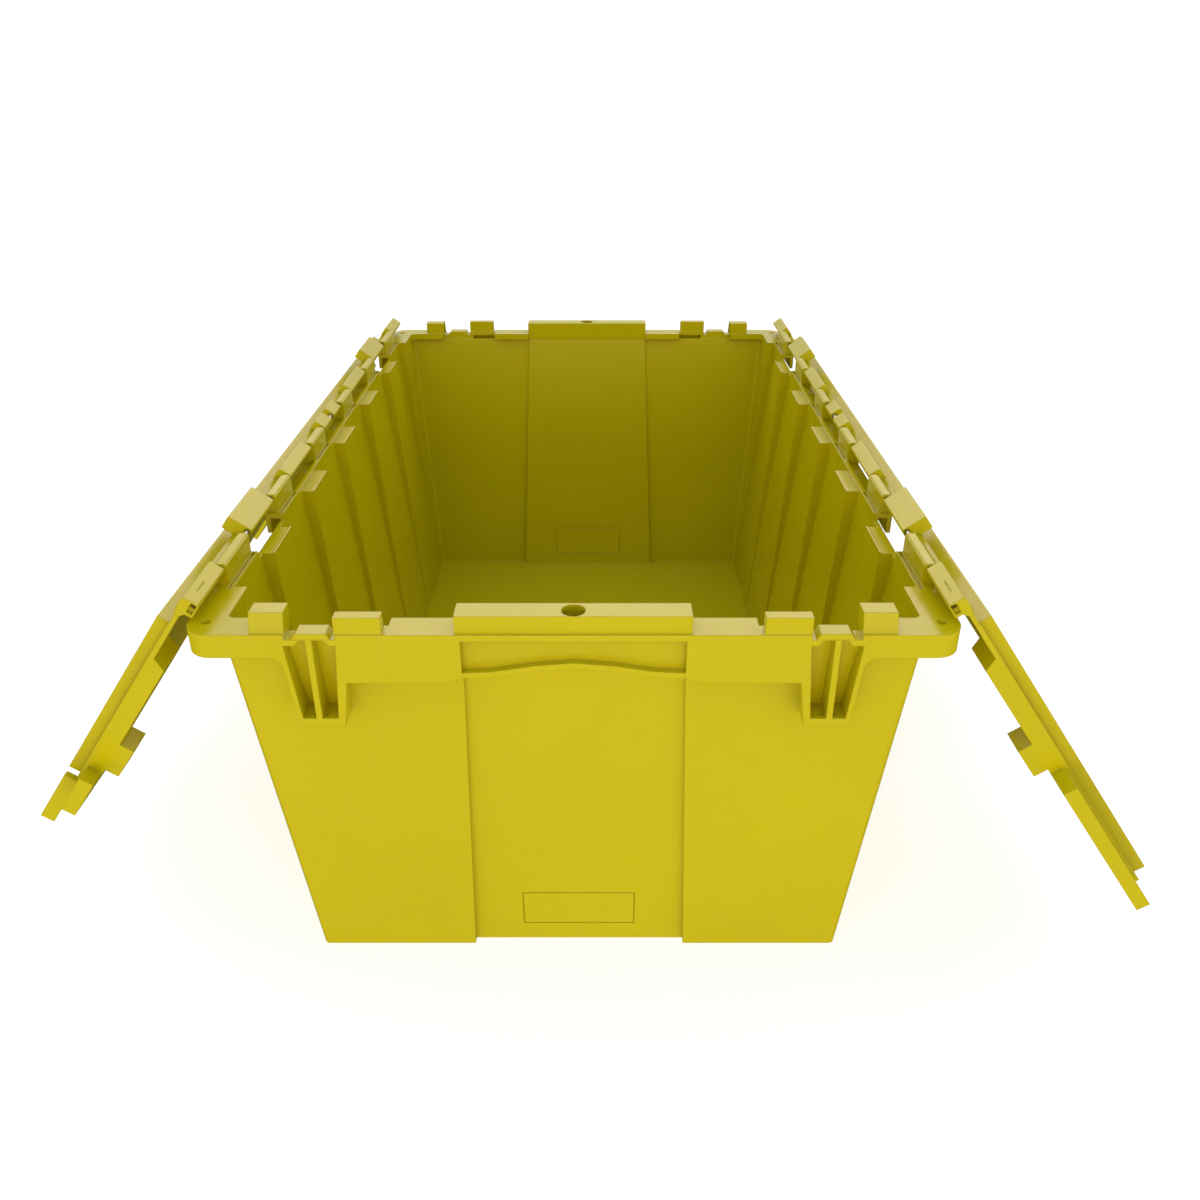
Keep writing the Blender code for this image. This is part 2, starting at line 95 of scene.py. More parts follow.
# ---- hinge ------------------------------------------------------------------
AXIS_X, AXIS_Z = 211.0, 284.0                # hinge axis, along Y
ROD_R, ROD_HALF = 1.6, 326.0
BORE_R = 1.95
KNUCKLES = ((34.0, 70.5), (137.5, 175.0), (238.0, 282.0))
KNUCKLE_X = (207.0, 215.0)
KNUCKLE_Z = 287.4
NOTCHES = ((-32.5, 32.5), (72.0, 136.0), (176.5, 236.5))
NOTCH_Z = 270.2                              # floor of the two shallow notches; the third is open below
OPEN_DEG = 234.5                             # lid travel from closed to its open stop

# ---- lid, measured from the hinge axis: x inward, z up, lid closed -----------
PLATE_Z0, PLATE_Z1 = -6.8, -4.0
LID_END = 323.5
PLATE_X0 = 5.5
EDGE = 47.5                                  # the middle fingers reach this far over the centre line
FINGERS = (-200.0, -70.0, 0.0, 70.0, 200.0)
SLANT = 5.0
GAP = 0.5
RIDGE_X0, RIDGE_Y0, RIDGE_Z = 52.8, 297.0, 4.4
RIDGE_RUN = 4.5                              # its hinge end leans over this much
LID_LUG = (117.0, 140.0, 304.0, 13.6)
TAB_X0, TAB_Z0 = 143.7, 1.5                  # end of the cap, underside of its top
TAB_RUN = 9.0                                # the short cap widens by this much towards its lip
SKIRT_Z, SKIRT_Y0, SKIRT_Y1 = -14.6, 316.0, 319.0
LIP_Z = -7.1                                 # lower edge of the band along each end
TONGUE = (194.5, 324.2, 325.7, -14.0, -5.1)  # far end, y0, y1, z0, z1 of the tongue beside the other lid's end
TAB_Y, TAB_LOW, TAB_IN = 344.0, -4.6, 342.0  # cap over the grip: outer face, lower edge, inside of its lip
BLOCKS = ((5.0, 28.7, -7.6), (74.0, 134.0, -7.6), (178.5, 229.0, -14.8), (284.0, 330.0, -7.6))
BLOCK_TOP = 2.8
BLOCK_X = (-3.0, 6.5)
PAD = (9.0, 13.0, 146.0, 167.0, 1.4)         # open stop on the lid: x0, x1, y0, y1, top


# ---- shapes -----------------------------------------------------------------
def solid(bm, name):
    bmesh.ops.recalc_face_normals(bm, faces=bm.faces)
    bmesh.ops.scale(bm, vec=(MM, MM, MM), verts=bm.verts)
    mesh = bpy.data.meshes.new(name)
    bm.to_mesh(mesh)
    bm.free()
    obj = bpy.data.objects.new(name, mesh)
    bpy.context.scene.collection.objects.link(obj)
    return obj


def rings(name, loops):
    """Closed solid through rings of points that all have the same count."""
    bm = bmesh.new()
    rows = [[bm.verts.new(p) for p in loop] for loop in loops]
    n = len(rows[0])
    for a, b in zip(rows, rows[1:]):
        for i in range(n):
            j = (i + 1) % n
            bm.faces.new((a[i], a[j], b[j], b[i]))
    bm.faces.new(list(reversed(rows[0])))
    bm.faces.new(rows[-1])
    return solid(bm, name)


def prism_xy(pts, z0, z1):
    return rings("prism", [[(x, y, z) for x, y in pts] for z in (z0, z1)])


def prism_xz(pts, y0, y1):
    return rings("prism", [[(x, y, z) for x, z in pts] for y in (y0, y1)])


def box(x0, x1, y0, y1, z0, z1):
    x0, x1 = min(x0, x1), max(x0, x1)
    y0, y1 = min(y0, y1), max(y0, y1)
    return prism_xy([(x0, y0), (x1, y0), (x1, y1), (x0, y1)], z0, z1)


def quad(a, b, sx, sy, swap=False):
    """Hexahedron from two rectangles (x0, x1, y0, y1, z), mirrored by sx and sy."""
    out = []
    for x0, x1, y0, y1, z in (a, b):
        out.append([(sx * x0, sy * y0, z), (sx * x1, sy * y0, z), (sx * x1, sy * y1, z), (sx * x0, sy * y1, z)])
    return rings("quad", out)


def rrect(hx, hy, r, z, n=6):
    pts = []
    for cx, cy, a0 in ((hx - r, hy - r, 0), (-hx + r, hy - r, 90), (-hx + r, -hy + r, 180), (hx - r, -hy + r, 270)):
        for i in range(n + 1):
            a = math.radians(a0 + 90 * i / n)
            pts.append((cx + r * math.cos(a), cy + r * math.sin(a), z))
    return pts


def rod(x, z, r, y0, y1, n):
    pts = [(x + r * math.cos(2 * math.pi * (i + 0.5) / n), z + r * math.sin(2 * math.pi * (i + 0.5) / n)) for i in range(n)]
    return prism_xz(pts, y0, y1)


def post(x, y, r, z0, z1, n):
    pts = [(x + r * math.cos(2 * math.pi * (i + 0.5) / n), y + r * math.sin(2 * math.pi * (i + 0.5) / n)) for i in range(n)]
    return prism_xy(pts, z0, z1)


def apply_op(base, tool, operation):
    mod = base.modifiers.new("op", "BOOLEAN")
    mod.operation = operation
    mod.solver = "EXACT"
    mod.object = tool
    graph = bpy.context.evaluated_depsgraph_get()
    mesh = bpy.data.meshes.new_from_object(base.evaluated_get(graph))
    base.modifiers.clear()
    old = base.data
    base.data = mesh
    bpy.data.meshes.remove(old)
    bpy.data.objects.remove(tool, do_unlink=True)


def union(base, *tools):
    for t in tools:
        apply_op(base, t, "UNION")


def cut(base, *tools):
    for t in tools:
        apply_op(base, t, "DIFFERENCE")


def tidy(obj):
    bm = bmesh.new()
    bm.from_mesh(obj.data)
    bmesh.ops.remove_doubles(bm, verts=bm.verts, dist=0.00002)
    bmesh.ops.dissolve_degenerate(bm, edges=bm.edges, dist=0.00002)
    bmesh.ops.dissolve_limit(bm, angle_limit=math.radians(0.2), verts=bm.verts, edges=bm.edges)
    bm.to_mesh(obj.data)
    bm.free()


def round_edges(bm, w, segments, angle):
    """Bevel every edge that is long enough for it; the rest stay crisp."""
    bmesh.ops.dissolve_limit(bm, angle_limit=math.radians(0.5), verts=bm.verts, edges=bm.edges)
    shortest = {}
    for v in bm.verts:
        shortest[v] = min([e.calc_length() for e in v.link_edges] or [0.0])
    chosen = []
    for e in bm.edges:
        if len(e.link_faces) != 2:
            continue
        if e.calc_face_angle(0.0) < math.radians(angle):
            continue
        if e.calc_length() < 2.6 * w:
            continue
        if min(shortest[v] for v in e.verts) < 1.25 * w:
            continue
        chosen.append(e)
    bmesh.ops.bevel(bm, geom=chosen, offset=w, offset_type="OFFSET", segments=segments, profile=0.5,
                    affect="EDGES", clamp_overlap=True, miter_outer="SHARP", miter_inner="SHARP", loop_slide=True)
    bmesh.ops.remove_doubles(bm, verts=bm.verts, dist=0.00001)
    bmesh.ops.dissolve_degenerate(bm, edges=bm.edges, dist=0.000005)


def soften(obj, width, segments=2, angle=25.0):
    """Round the edges by a width in mm (none at 0), then set smooth and sharp edges."""
    bm = bmesh.new()
    bm.from_mesh(obj.data)
    w = width * MM
    if w > 0:
        round_edges(bm, w, segments, angle)
    bmesh.ops.holes_fill(bm, edges=[e for e in bm.edges if e.is_boundary], sides=8)
    bmesh.ops.recalc_face_normals(bm, faces=bm.faces)
    for f in bm.faces:
        f.smooth = True
    for e in bm.edges:
        e.smooth = len(e.link_faces) == 2 and e.calc_face_angle(0.0) < math.radians(42)
    bm.to_mesh(obj.data)
    bm.free()
    mod = obj.modifiers.new("even_normals", "WEIGHTED_NORMAL")
    mod.keep_sharp = True
    mod.weight = 80


# ---- the body ---------------------------------------------------------------
def wall_x(z):
    return BASE_X + DRAFT_X * z


def wall_y(z):
    return BASE_Y + DRAFT_Y * z


def panel_y(z):
    return PANEL_IN0 + (PANEL_IN1 - PANEL_IN0) * z / CAV_Z


def side_bays():
    """Stretches of side wall between the inner ribs, where the wall stands further out."""
    edges = [-POST_Y]
    for y in sorted(set([-y for y in RIB_Y] + list(RIB_Y))):
        edges += [y - RIB_HALF, y + RIB_HALF]
    edges.append(POST_Y)
    return list(zip(edges[0::2], edges[1::2]))


def build_body():
    body = rings("tote_body", [rrect(RIM_X, RIM_Y, RIM_R, z) for z in (RIM_LOW, RIM_Z)])
    cut(body, rings("void", [rrect(RIM_X - SKIRT_T, RIM_Y - SKIRT_T, RIM_R - SKIRT_T, z) for z in (RIM_LOW - 5, RIM_Z - RIM_T)]))
    union(body, rings("walls", [rrect(wall_x(z), wall_y(z), r, z) for z, r in ((0.0, 4.0), (RIM_Z - 1.0, 6.0))]))

    # side bays, outside
    for sx in (1, -1):
        for y0, y1 in side_bays():
            union(body, rings("bay", [
                [(sx * 150, y0 + 5, 8), (sx * (wall_x(8) + 0.3), y0 + 5, 8), (sx * (wall_x(8) + 0.3), y1 - 5, 8), (sx * 150, y1 - 5, 8)],
                [(sx * 150, y0 - 2, 262), (sx * SIDE_OUT, y0 - 2, 262), (sx * SIDE_OUT, y1 + 2, 262), (sx * 150, y1 + 2, 262)],
                [(sx * 150, y0 - 2, RIM_Z - 0.5), (sx * SIDE_OUT, y0 - 2, RIM_Z - 0.5), (sx * SIDE_OUT, y1 + 2, RIM_Z - 0.5), (sx * 150, y1 + 2, RIM_Z - 0.5)],
            ]))

    # caps over the inner ribs
    for sx in (1, -1):
        for y in sorted(set([-y for y in RIB_Y] + list(RIB_Y))):
            union(body, box(sx * 180, sx * (SIDE_OUT - 0.2), y - RIB_HALF - 3, y + RIB_HALF + 3, LEDGE_Z - 3.6, RIM_Z - 0.7))

    # end skirts, brackets and grips
    for sy in (1, -1):
        for sx in (1, -1):
            union(body,
                  prism_xz([(sx * x, z) for x, z in ((WIN_HALF, RIM_Z - 1), (WIN_HALF, 246.4), (66.0, 244.8), (70.0, 243.6), (75.0, LIP_LOW), (128.0, LIP_LOW), (128.0, RIM_Z - 1))],
                           sy * (RIM_Y - SKIRT_T), sy * RIM_Y),
                  box(sx * WIN_HALF, sx * (WIN_HALF + 3), sy * 322, sy * (RIM_Y - 1), LIP_LOW, RIM_Z - 1))
            pts = [(171.0, RIM_Z - 2), (127.5, RIM_Z - 2), (127.5, LIP_LOW), (131.5, BRK_LOW), (157.5, BRK_LOW),
                   (161.5, 252.6), (162.8, 256.2), (165.6, 258.8), (171.0, 260.2)]
            union(body, prism_xz([(sx * x, z) for x, z in pts], sy * 322, sy * RIM_Y))
        union(body, box(-GRIP_HALF, GRIP_HALF, sy * GRIP_IN, sy * GRIP_FACE, CAV_Z - 2, GRIP_Z))

    # mouth and cavity
    cut(body, rings("cavity", [rrect(wall_x(z) - WALL, wall_y(z) - WALL, r, z) for z, r in ((FLOOR_T, 3.0), (CAV_Z, 4.0))]))
    cut(body, rings("mouth", [rrect(OPEN_X, OPEN_Y, 4.0, z) for z in (CAV_Z - 1, 320)]))
    for sx in (1, -1):
        for y0, y1 in side_bays():
            y0, y1 = max(y0, -POST_Y + 3), min(y1, POST_Y - 3)
            cut(body, rings("bay", [
                [(sx * 140, y0 + 7, 9), (sx * (wall_x(9) - WALL + 0.4), y0 + 7, 9), (sx * (wall_x(9) - WALL + 0.4), y1 - 7, 9), (sx * 140, y1 - 7, 9)],
                [(sx * 140, y0 + 1, 262), (sx * SIDE_IN, y0 + 1, 262), (sx * SIDE_IN, y1 - 1, 262), (sx * 140, y1 - 1, 262)],
                [(sx * 140, y0 + 1, 320), (sx * SIDE_IN, y0 + 1, 320), (sx * SIDE_IN, y1 - 1, 320), (sx * 140, y1 - 1, 320)],
            ]))
        cut(body, box(sx * 150, sx * SIDE_IN, -POST_Y + 10, POST_Y - 10, LEDGE_Z, 330))
        for sy in (1, -1):
            cut(body, box(sx * (LUG2[0] - 2), sx * (LOW_X1 + 1), sy * 300, sy * 332, CAV_Z - 0.6, 330))
    for sy in (1, -1):
        cut(body, box(-GRIP_HALF + 0.01, GRIP_HALF - 0.01, sy * 300, sy * GRIP_IN, CAV_Z - 0.6, 330))

    # end panels: set in from the wall, a shallow step on both sides
    for sy in (1, -1):
        a, b = panel_y(0.0), panel_y(CAV_Z + 4)
        p0, p1 = PANEL_HALF0 + 2.2, WIN_HALF + 2.2     # laps past the outer step, so the wall stays closed
        union(body, rings("panel", [
            [(-p0, sy * (a - 0.35), FLOOR_T - 3), (p0, sy * (a - 0.35), FLOOR_T - 3), (p0, sy * (a + 4.2), FLOOR_T - 3), (-p0, sy * (a + 4.2), FLOOR_T - 3)],
            [(-p1, sy * b, CAV_Z + 1), (p1, sy * b, CAV_Z + 1), (p1, sy * (b + 4.2), CAV_Z + 1), (-p1, sy * (b + 4.2), CAV_Z + 1)]]))
        cut(body, rings("step", [
            [(-PANEL_HALF0, sy * (a + WALL), -2), (PANEL_HALF0, sy * (a + WALL), -2), (PANEL_HALF0, sy * 339, -2), (-PANEL_HALF0, sy * 339, -2)],
            [(-WIN_HALF, sy * (panel_y(WIN_TOP) + WALL), WIN_TOP), (WIN_HALF, sy * (panel_y(WIN_TOP) + WALL), WIN_TOP),
             (WIN_HALF, sy * 339, WIN_TOP), (-WIN_HALF, sy * 339, WIN_TOP)]]))
        # hollow of the grip and the finger recess below it
        cut(body, box(-60.5, 60.5, sy * (GRIP_IN + 3.4), sy * (GRIP_FACE - 3.6), 256, GRIP_Z - 3.2))
        cut(body, box(-WIN_HALF, WIN_HALF, sy * 334, sy * 350, 240, WIN_TOP))
        plate = [(x * 1.005, z + 1.0) for x, z in BAND] + [(WIN_HALF * 1.005, WIN_TOP + 1.0), (-WIN_HALF * 1.005, WIN_TOP + 1.0)]
        union(body, prism_xz(plate, sy * (WIN_BACK - 3.0), sy * WIN_BACK))
        band = [(x, z) for x, z in BAND] + [(x, z + BAND_T) for x, z in reversed(BAND)]
        band = [(x * 1.01, z) for x, z in band]
        union(body, prism_xz(band, sy * 325.5, sy * (RIM_Y - 0.3)))
        cut(body, post(0, sy * SEAL_Y, SEAL_R, GRIP_Z - 10, GRIP_Z + 10, 40))

        for sx in (1, -1):
            # lowered rim over the bracket, its raised middle, and the two pockets
            cut(body, box(sx * LOW_X0, sx * LOW_X1, sy * 320, sy * 350, LOW_Z, RIM_Z + 8))
            x0, x1, zt = BRK_MID
            mid = [(x1 + 3.2, LOW_Z - 1), (x0 - 3.2, LOW_Z - 1), (x0, zt), (x1, zt)]
            union(body, prism_xz([(sx * x, z) for x, z in mid], sy * 332, sy * (RIM_Y - 0.2)))
            for pts in ([(160.0, 267.2), (153.8, 267.2), (151.0, 270.6), (147.4, 270.6), (147.4, 219.0), (155.0, 219.0)],
                        [(143.9, 270.6), (137.4, 270.6), (134.6, 267.2), (131.0, 267.2), (134.8, 219.0), (143.9, 219.0)]):
                loops = []
                for back in (True, False):
                    loops.append([(sx * x, sy * ((wall_y(z) + 0.4) if z < 267 else 335.2) if back else sy * 350, z) for x, z in pts])
                cut(body, rings("pocket", loops))
            x0, x1, yi, zt = LUG1
            union(body, quad((x0, x1, yi, RIM_Y - 0.5, RIM_Z - 3), (x0, x1, yi, RIM_Y - 6.0, zt), sx, sy))
            x0, x1, yi, zt = LUG2
            union(body, box(sx * x0, sx * x1, sy * yi, sy * (RIM_Y - 0.5), RIM_Z - 3, zt))
            cx, cy, cr = CORNER_HOLE
            cut(body, post(sx * cx, sy * cy, cr, 262, 290, 24))

    # side rims: cut back at the lid blocks, knuckles between them
    for sx in (1, -1):
        for sy in (1, -1):
            for y0, y1 in NOTCHES[:2]:
                if y0 < 0 and sy < 0:
                    continue
                union(body, box(sx * (SIDE_OUT - 1.5), sx * (RIM_X - 0.4), sy * (y0 - 1), sy * (y1 + 1), NOTCH_Z - 3.5, NOTCH_Z + 1))
                cut(body, box(sx * (SIDE_OUT + 0.6), sx * 225, sy * y0, sy * y1, NOTCH_Z, 300))
            y0, y1 = NOTCHES[2]
            cut(body, box(sx * SIDE_OUT, sx * 225, sy * y0, sy * y1, 240, 300))
            cut(body, box(sx * 197, sx * 225, sy * y0, sy * y1, LEDGE_Z - 0.6, 300))
            for y0, y1 in KNUCKLES:
                k0, k1 = KNUCKLE_X
                pts = [(k0, RIM_Z - 2), (k1, RIM_Z - 2), (k1, KNUCKLE_Z - 2), (k1 - 2, KNUCKLE_Z), (k0 + 1.5, KNUCKLE_Z), (k0, KNUCKLE_Z - 1.5)]
                knob = prism_xz([(sx * x, z) for x, z in pts], sy * y0, sy * y1)
                cut(knob, rod(sx * AXIS_X, AXIS_Z, BORE_R, sy * (y0 - 2), sy * (y1 + 2), 20))
                union(body, knob)
    for sy in (1, -1):
        # blank label field low on each end: a fine engraved outline, outside and in
        for inside in (False, True):
            t = 0.75
            for x0, x1, za, zb in ((-38.5, 38.5, 16.0, 16.0 + t), (-38.5, 38.5, 48.0 - t, 48.0), (-38.5, -38.5 + t, 16.0, 48.0), (38.5 - t, 38.5, 16.0, 48.0)):
                rows = []
                for z in (za, zb):
                    y = (panel_y(z) - 0.35) if inside else (panel_y(z) + WALL)
                    rows.append([(x0, sy * (y - 0.6), z), (x1, sy * (y - 0.6), z), (x1, sy * (y + 0.6), z), (x0, sy * (y + 0.6), z)])
                cut(body, rings("label", rows))
        # drain holes in the bracket pockets, and the bead under the grip
        for sx in (1, -1):
            for x in (142.2, 149.1):
                cut(body, post(sx * x, sy * 338.6, 0.9, 205, 222, 14))
        union(body, box(-GRIP_HALF + 0.4, GRIP_HALF - 0.4, sy * (GRIP_FACE - 4), sy * (GRIP_FACE + 0.7), WIN_TOP, WIN_TOP + 3.4))
    # twin rails along the top of each side wall, beside the hinge knuckles
    for sx in (1, -1):
        for y0, y1 in ((33.5, 71.0), (137.0, 175.5), (237.5, 288.0)):
            for sy in (1, -1):
                cut(body, box(sx * 204.4, sx * 206.6, sy * y0, sy * y1, RIM_Z - 1.9, RIM_Z + 1))
    tidy(body)
    return body


# ---- a lid, built closed, hinge axis on its origin ---------------------------
def free_edge(offset, y_end):
    """The wavy free edge of the left lid, moved back from the shared line by offset."""
    x = AXIS_X
    pts = [(x - EDGE, -y_end)]
    side = -1
    for y in FINGERS:
        pts.append((x + side * EDGE, y - SLANT))
        side = -side
        pts.append((x + side * EDGE, y + SLANT))
    pts.append((x + EDGE, y_end))
    lines = []
    for (ax, ay), (bx, by) in zip(pts, pts[1:]):
        d = Vector((bx - ax, by - ay)).normalized()
        n = Vector((-d.y, d.x)) * offset
        lines.append((Vector((ax, ay)) + n, d))
    out = [(lines[0][0].x, -y_end)]
    for (p, d), (q, e) in zip(lines, lines[1:]):
        cross = d.x * e.y - d.y * e.x
        t = ((q.x - p.x) * e.y - (q.y - p.y) * e.x) / cross
        out.append((p.x + d.x * t, p.y + d.y * t))
    out.append((lines[-1][0].x, y_end))
    return out


def build_lid(name):
    edge = free_edge(GAP, LID_END)
    lid = prism_xy([(PLATE_X0, -LID_END)] + edge + [(PLATE_X0, LID_END)], PLATE_Z0, PLATE_Z1)
    lid.name = lid.data.name = name
    near, far = edge[0][0], edge[-1][0]
    # raised ridge along each end, hollow below, then the tabs that lie over the grips
    for sy, xe in ((-1, near), (1, far)):
        union(lid, prism_xz([(RIDGE_X0 - RIDGE_RUN, PLATE_Z1), (RIDGE_X0 - RIDGE_RUN, PLATE_Z0 + 0.5), (xe, PLATE_Z0 + 0.5), (xe, RIDGE_Z), (RIDGE_X0, RIDGE_Z)],
                            sy * RIDGE_Y0, sy * LID_END))
    for sy, xe in ((-1, near), (1, far)):
        cut(lid, box(RIDGE_X0 + 2.5, xe - 2.5, sy * (RIDGE_Y0 + 2.5), sy * (LID_END - 2.5), PLATE_Z0 - 5, RIDGE_Z - 2.7))
        run = TAB_RUN if sy < 0 else 0.0
        cap = prism_xy([(TAB_X0, sy * (LID_END - 2)), (TAB_X0, sy * LID_END), (TAB_X0 - run, sy * TAB_Y), (xe, sy * TAB_Y), (xe, sy * (LID_END - 2))], TAB_LOW, RIDGE_Z)
        cut(cap, prism_xy([(TAB_X0 + 1.6, sy * (LID_END + 0.4)), (TAB_X0 + 1.6 - run * 0.9, sy * TAB_IN), (xe + 5, sy * TAB_IN), (xe + 5, sy * (LID_END + 0.4))], TAB_LOW - 5, TAB_Z0))
        union(lid, cap)
        x0, x1, y0, zt = LID_LUG
        union(lid, box(x0, x1, sy * y0, sy * LID_END, RIDGE_Z - 1.2, zt))
    cut(lid, post(AXIS_X, SEAL_Y, SEAL_R, -2, 12, 40))

    # skirt that drops inside the mouth, and the tongue that runs on under the other lid
    x_in = AXIS_X - 187.0
    for sy, xe in ((-1, near - 8.5), (1, far - 3.5)):
        union(lid, box(x_in, RIDGE_X0 + 1, sy * SKIRT_Y0, sy * SKIRT_Y1, SKIRT_Z, PLATE_Z0 + 1))
        union(lid, box(RIDGE_X0 + 0.5, xe, sy * SKIRT_Y0, sy * SKIRT_Y1, SKIRT_Z, RIDGE_Z - 2.0))
        union(lid, box(x_in - 1, near - 0.3 if sy < 0 else far - 0.3, sy * (LID_END - 2.5), sy * LID_END, LIP_Z, PLATE_Z0 + 1))
    union(lid, box(x_in, x_in + 2.5, -SKIRT_Y0 - 1, SKIRT_Y0 + 1, SKIRT_Z, PLATE_Z0 + 1))
    t_end, t_y0, t_y1, t_z0, t_z1 = TONGUE
    union(lid, box(near - 7.0, near - 0.6, -t_y1, -LID_END + 2.4, t_z0, TAB_Z0 + 1))
    union(lid, box(near - 5.0, t_end, -t_y1, -t_y0, t_z0, t_z1))
    # stiffening ribs below
    lip0, lip1 = free_edge(GAP, 300.0), free_edge(GAP + 2.5, 300.0)
    union(lid, prism_xy(lip0 + list(reversed(lip1)), -9.5, PLATE_Z0 + 1))
    for x in (70.0, 118.0):
        union(lid, box(x - 1, x + 1, -SKIRT_Y0 - 1, SKIRT_Y0 + 1, -10.0, PLATE_Z0 + 1))
    for y, xe in ((-260, near), (-135, far), (-35, near), (35, far), (135, near), (260, far)):
        union(lid, box(x_in + 1, xe - 1, y - 1, y + 1, -10.0, PLATE_Z0 + 1))

    # hinge blocks around the rod, and the pads that meet the rim when the lid is fully open
    for y0, y1, zb in BLOCKS:
        for sy in (-1, 1):
            b0, b1 = BLOCK_X
            zt = BLOCK_TOP
            pts = [(b0, zb + 1), (b0 + 1, zb), (b1, zb), (b1 + 0.2, -7.0), (b1 + 3, -7.0), (b1 + 3, PLATE_Z1), (b1, PLATE_Z1 + 2.5), (b1, zt), (b0 + 1, zt), (b0, zt - 1)]
            union(lid, prism_xz(pts, sy * y0, sy * y1))
            cut(lid, rod(0, 0, BORE_R, sy * (y0 - 1), sy * (y1 + 1), 20))
    x0, x1, y0, y1, zt = PAD
    for sy in (-1, 1):
        union(lid, box(x0, x1, sy * y0, sy * y1, PLATE_Z0 + 1, zt))
    # slot over the rod's end, and a short mark on the outer block
    for sy in (-1, 1):
        cut(lid, box(-2.2, 4.4, sy * 327.5, sy * 331, -1.7, 1.7))
        cut(lid, box(BLOCK_X[0] - 1, BLOCK_X[0] + 0.4, sy * 306, sy * 318, -3.2, -2.4))
    tidy(lid)
    return lid



body = build_body()
lid_left = build_lid("lid_left_moulding")
body.name = body.data.name = "tote_body_moulding"
soften(body, 0.0)
soften(lid_left, 0.5)
lid_right = bpy.data.objects.new("lid_right_moulding", lid_left.data.copy())
bpy.context.scene.collection.objects.link(lid_right)
mod = lid_right.modifiers.new("even_normals", "WEIGHTED_NORMAL")
mod.keep_sharp = True
mod.weight = 80
for lid, side in ((lid_left, -1), (lid_right, 1)):
    place = Matrix.Translation((side * AXIS_X * MM, 0.0, AXIS_Z * MM)) @ Matrix.Rotation(0.0 if side < 0 else math.pi, 4, "Z") @ Matrix.Rotation(math.radians(-OPEN_DEG), 4, "Y")
    lid.data.transform(place)


def add(nodes, kind, **values):
    n = nodes.new(kind)
    for k, v in values.items():
        setattr(n, k, v)
    return n


def plastic(name, rgb, shift):
    """Glossy injection-moulded polyolefin: slow flow mottling, orange peel and fine rubbing."""
    mat = bpy.data.materials.new(name)
    mat.use_nodes = True
    nt = mat.node_tree
    n, link = nt.nodes, nt.links
    p = n["Principled BSDF"]
    p.inputs["Metallic"].default_value = 0.0
    p.inputs["IOR"].default_value = 1.49
    p.inputs["Specular IOR Level"].default_value = 0.5
    p.inputs["Subsurface Weight"].default_value = 0.0
    co = add(n, "ShaderNodeTexCoord")
    flow = add(n, "ShaderNodeTexNoise")
    flow.inputs["Scale"].default_value = 6.0 + shift
    flow.inputs["Detail"].default_value = 3.0
    flow.inputs["Roughness"].default_value = 0.55
    link.new(co.outputs["Object"], flow.inputs["Vector"])
    fine = add(n, "ShaderNodeTexNoise")
    fine.inputs["Scale"].default_value = 90.0
    fine.inputs["Detail"].default_value = 4.0
    fine.inputs["Roughness"].default_value = 0.6
    link.new(co.outputs["Object"], fine.inputs["Vector"])
    ramp = add(n, "ShaderNodeValToRGB")
    e = ramp.color_ramp.elements
    e[0].position, e[1].position = 0.30, 0.72
    e[0].color = (rgb[0] * 0.97, rgb[1] * 0.965, rgb[2] * 0.9, 1.0)
    e[1].color = (min(rgb[0] * 1.03, 1), rgb[1] * 1.035, rgb[2] * 1.1, 1.0)
    link.new(flow.outputs["Fac"], ramp.inputs["Fac"])
    tint = add(n, "ShaderNodeMix", data_type="RGBA", blend_type="MULTIPLY")
    tint.inputs["Factor"].default_value = 0.035
    shade = add(n, "ShaderNodeValToRGB")
    s = shade.color_ramp.elements
    s[0].position, s[1].position = 0.35, 0.65
    s[0].color, s[1].color = (0.86, 0.86, 0.86, 1.0), (1.0, 1.0, 1.0, 1.0)
    link.new(fine.outputs["Fac"], shade.inputs["Fac"])
    link.new(ramp.outputs["Color"], tint.inputs["A"])
    link.new(shade.outputs["Color"], tint.inputs["B"])
    link.new(tint.outputs["Result"], p.inputs["Base Color"])
    rub = add(n, "ShaderNodeMapRange")
    rub.inputs["From Min"].default_value, rub.inputs["From Max"].default_value = 0.25, 0.75
    rub.inputs["To Min"].default_value, rub.inputs["To Max"].default_value = 0.20, 0.27
    link.new(fine.outputs["Fac"], rub.inputs["Value"])
    link.new(rub.outputs["Result"], p.inputs["Roughness"])
    peel = add(n, "ShaderNodeTexNoise")
    peel.inputs["Scale"].default_value = 420.0
    peel.inputs["Detail"].default_value = 2.0
    link.new(co.outputs["Object"], peel.inputs["Vector"])
    wave = add(n, "ShaderNodeTexNoise")
    wave.inputs["Scale"].default_value = 16.0
    wave.inputs["Detail"].default_value = 1.0
    link.new(co.outputs["Object"], wave.inputs["Vector"])
    edge = add(n, "ShaderNodeBevel", samples=6)
    edge.inputs["Radius"].default_value = 0.0009
    b1 = add(n, "ShaderNodeBump")
    b1.inputs["Strength"].default_value = 0.06
    link.new(edge.outputs["Normal"], b1.inputs["Normal"])
    b1.inputs["Distance"].default_value = 0.00015
    link.new(peel.outputs["Fac"], b1.inputs["Height"])
    b2 = add(n, "ShaderNodeBump")
    b2.inputs["Strength"].default_value = 0.07
    b2.inputs["Distance"].default_value = 0.0012
    link.new(wave.outputs["Fac"], b2.inputs["Height"])
    link.new(b1.outputs["Normal"], b2.inputs["Normal"])
    link.new(b2.outputs["Normal"], p.inputs["Normal"])
    mat.diffuse_color = (*rgb, 1.0)
    return mat


